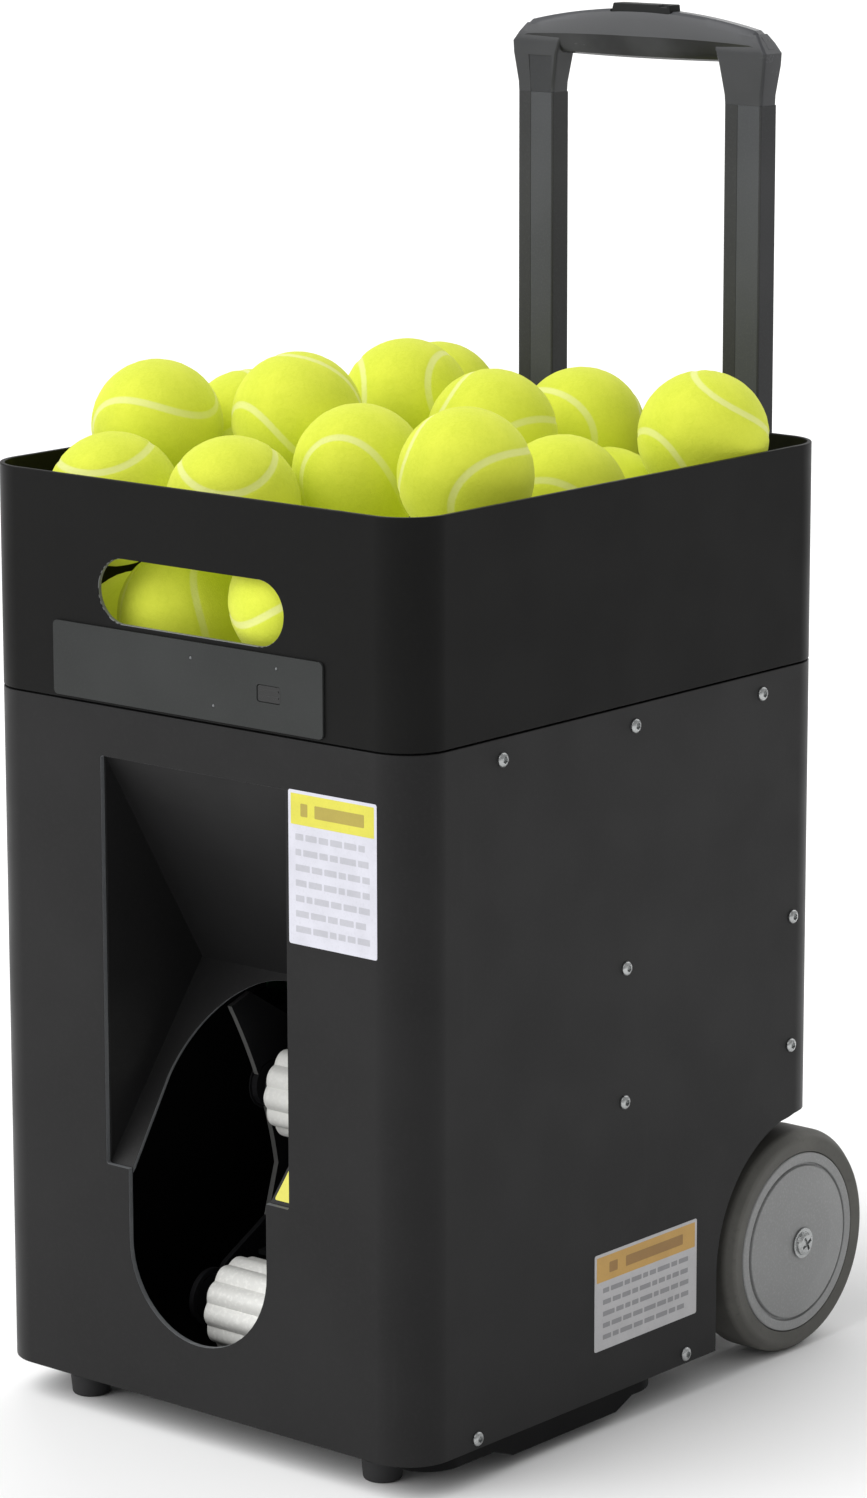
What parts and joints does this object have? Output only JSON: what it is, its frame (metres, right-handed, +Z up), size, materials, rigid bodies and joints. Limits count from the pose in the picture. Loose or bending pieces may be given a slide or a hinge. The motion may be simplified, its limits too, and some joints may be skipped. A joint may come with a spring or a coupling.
{
  "type": "tennis ball machine",
  "caption": "Portable tennis ball machine: upright box with an open ball hopper, a recessed launch mouth with ribbed rollers, wheels and a telescopic handle.",
  "frame": {"origin": "on the ground, under the middle of the whole object's box", "axes": "+Z up, -Y towards the side that the balls leave from, +X to the right seen from that side, along the wheel axle"},
  "size_m": [0.2912, 0.3682, 0.6895],
  "materials": {
    "housing_black": "satin, finely textured",
    "shell_black": "satin, finely textured",
    "dark_plastic": "matt moulded",
    "grey_plate": "smooth satin",
    "black_gloss": "glossy",
    "foot_rubber": "matt",
    "tyre_rubber": "matt grey-brown rubber",
    "hub_grey": "satin moulded",
    "roller_white": "matt moulded",
    "handle_black": "satin anodised look",
    "grip_black": "satin moulded",
    "bright_steel": "bright",
    "black_metal": "black powder coat",
    "motor_metal": "satin plated",
    "battery_case": "matt wrap",
    "circuit_board": "satin lacquer",
    "dial_grey": "matt moulded"
  },
  "bodies": {
    "chassis": {"lower_housing": "housing_black", "launch_hood": "housing_black", "upper_shell": "shell_black", "hopper_tray": "dark_plastic", "feed_chute": "dark_plastic", "rear_cover": "dark_plastic", "switch_bezel": "dark_plastic", "upper_tube_bracket": "dark_plastic", "lower_tube_bracket": "dark_plastic", "name_plate": "grey_plate", "sensor_window": "black_gloss", "front_foot_left": "foot_rubber", "front_foot_right": "foot_rubber", "handle_outer_tube_left": "handle_black", "handle_outer_tube_right": "handle_black", "axle": "bright_steel", "axle_screw_left": "bright_steel", "axle_screw_right": "bright_steel", "charge_socket": "bright_steel", "base_plate": "black_metal", "base_pan": "black_metal", "wheel_well_left": "black_metal", "wheel_well_right": "black_metal", "pivot_bracket_left": "black_metal", "pivot_bracket_right": "black_metal", "tilt_motor_bracket": "black_metal", "battery_tray": "black_metal", "feeder_motor": "motor_metal", "tilt_motor": "motor_metal", "battery_pack": "battery_case", "control_board": "circuit_board"},
    "launch_head": {"cheek_plate_left": "black_metal", "cheek_plate_right": "black_metal", "pivot_pin_left": "bright_steel", "pivot_pin_right": "bright_steel", "tie_rod_upper": "bright_steel", "tie_rod_lower": "bright_steel", "ball_guide": "dark_plastic", "roller_motor_upper": "motor_metal", "roller_motor_lower": "motor_metal", "roller_bearing_upper": "black_metal", "roller_bearing_lower": "black_metal", "tilt_sector": "bright_steel"},
    "upper_roller_unit": {"roller_upper": "roller_white", "roller_shaft_upper": "black_metal"},
    "lower_roller_unit": {"roller_lower": "roller_white", "roller_shaft_lower": "black_metal"},
    "feeder": {"feeder_dial": "dial_grey", "dial_cone": "dial_grey", "feeder_shaft": "bright_steel"},
    "pinion": {"tilt_pinion": "bright_steel"},
    "trolley_handle": {"handle_tube_left": "handle_black", "handle_tube_right": "handle_black", "handle_grip": "grip_black"},
    "button": {"release_button": "dark_plastic"},
    "left_wheel": {"tyre_left": "tyre_rubber", "hub_left": "hub_grey"},
    "right_wheel": {"tyre_right": "tyre_rubber", "hub_right": "hub_grey"},
    "rocker": {"power_rocker": "black_gloss"}
  },
  "joints": [
    {"name": "head_tilt", "type": "hinge", "parent": "chassis", "child": "launch_head", "pos_m": [0, -0.05785, 0.11], "axis": [-1, 0, 0], "range_deg": [-8, 13]},
    {"name": "upper_roller_spin", "type": "hinge", "parent": "launch_head", "child": "upper_roller_unit", "pos_m": [0, -0.08685, 0.159], "axis": [1, 0, 0], "continuous": true},
    {"name": "lower_roller_spin", "type": "hinge", "parent": "launch_head", "child": "lower_roller_unit", "pos_m": [0, -0.13255, 0.057], "axis": [1, 0, 0], "continuous": true},
    {"name": "feeder_turn", "type": "hinge", "parent": "chassis", "child": "feeder", "pos_m": [0, -0.01985, 0.328], "axis": [0, 0, 1], "continuous": true},
    {"name": "pinion_turn", "type": "hinge", "parent": "chassis", "child": "pinion", "pos_m": [-0.0416, -0.02285, 0.17062], "axis": [-1, 0, 0], "range_deg": [-85, 49]},
    {"name": "handle_slide", "type": "slide", "parent": "chassis", "child": "trolley_handle", "axis": [0, 0, 1], "range_m": [-0.165, 0]},
    {"name": "button_press", "type": "slide", "parent": "trolley_handle", "child": "button", "axis": [0, 0, -1], "range_m": [0, 0.004], "stiffness_N_per_m": 500, "springref_m": -0.001},
    {"name": "left_wheel_spin", "type": "hinge", "parent": "chassis", "child": "left_wheel", "pos_m": [-0.125, 0.12515, 0.059], "axis": [1, 0, 0], "continuous": true},
    {"name": "right_wheel_spin", "type": "hinge", "parent": "chassis", "child": "right_wheel", "pos_m": [0.125, 0.12515, 0.059], "axis": [1, 0, 0], "continuous": true},
    {"name": "rocker_flip", "type": "hinge", "parent": "chassis", "child": "rocker", "pos_m": [-0.02, 0.14515, 0.286], "axis": [-1, 0, 0], "range_deg": [0, 12]}
  ],
  "couplings": [
    {"joint": "pinion_turn", "follows": "head_tilt", "ratio": -6}
  ]
}
